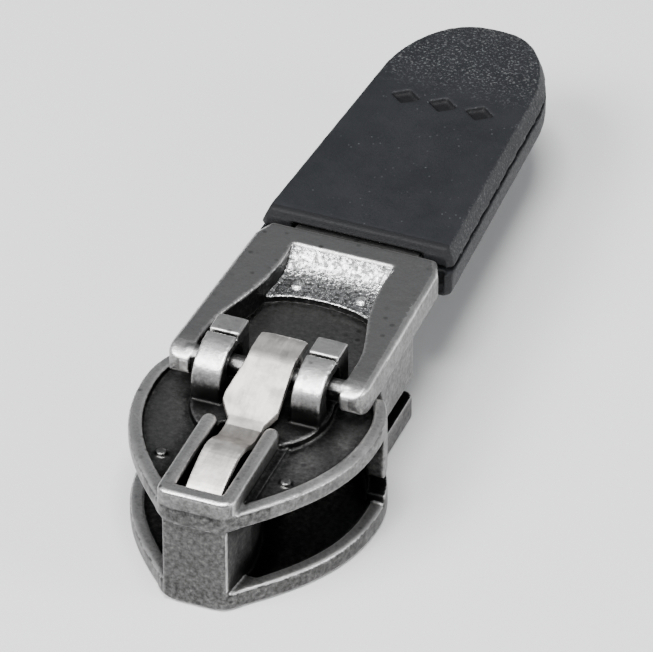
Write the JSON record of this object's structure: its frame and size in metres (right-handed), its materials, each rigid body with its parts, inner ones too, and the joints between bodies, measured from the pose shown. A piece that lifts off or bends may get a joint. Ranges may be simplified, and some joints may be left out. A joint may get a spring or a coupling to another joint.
{
  "type": "zipper slider",
  "caption": "Auto-lock zipper slider: a two-winged cast body with crown lugs, a spring-leaf pawl, and a hinged metal pull with a soft rubber grip.",
  "frame": {"origin": "on the underside plane, on the mid-plane, 1.25 mm behind the foremost point of the nose; the underside mount's own point lies under the middle of the body", "axes": "+X to the wearer's right across the slider, +Y from the nose to the tail and pull, +Z from the underside up to the crown"},
  "size_m": [0.015, 0.0503, 0.0102],
  "materials": {
    "cast_body": "tumbled antique-nickel plating on a zinc casting",
    "spring_strip": "bright nickel strip",
    "cast_pull": "tumbled antique-nickel plating on a zinc casting",
    "grip_rubber": "fine matt grain"
  },
  "bodies": {
    "body": {"slider_body": "cast_body"},
    "spring": {"lock_spring": "spring_strip"},
    "pull": {"pull_frame": "cast_pull", "grip_upper": "grip_rubber", "grip_lower": "grip_rubber"}
  },
  "joints": [
    {"name": "pull_hinge", "type": "hinge", "parent": "body", "child": "pull", "pos_m": [0, 0.0107, 0.00845], "axis": [1, 0, 0], "range_deg": [0, 176]},
    {"name": "spring_lift", "type": "hinge", "parent": "body", "child": "spring", "pos_m": [0, 0.0006, 0.0071], "axis": [1, 0, 0], "range_deg": [0, 5], "stiffness_Nm_per_rad": 0.02}
  ]
}
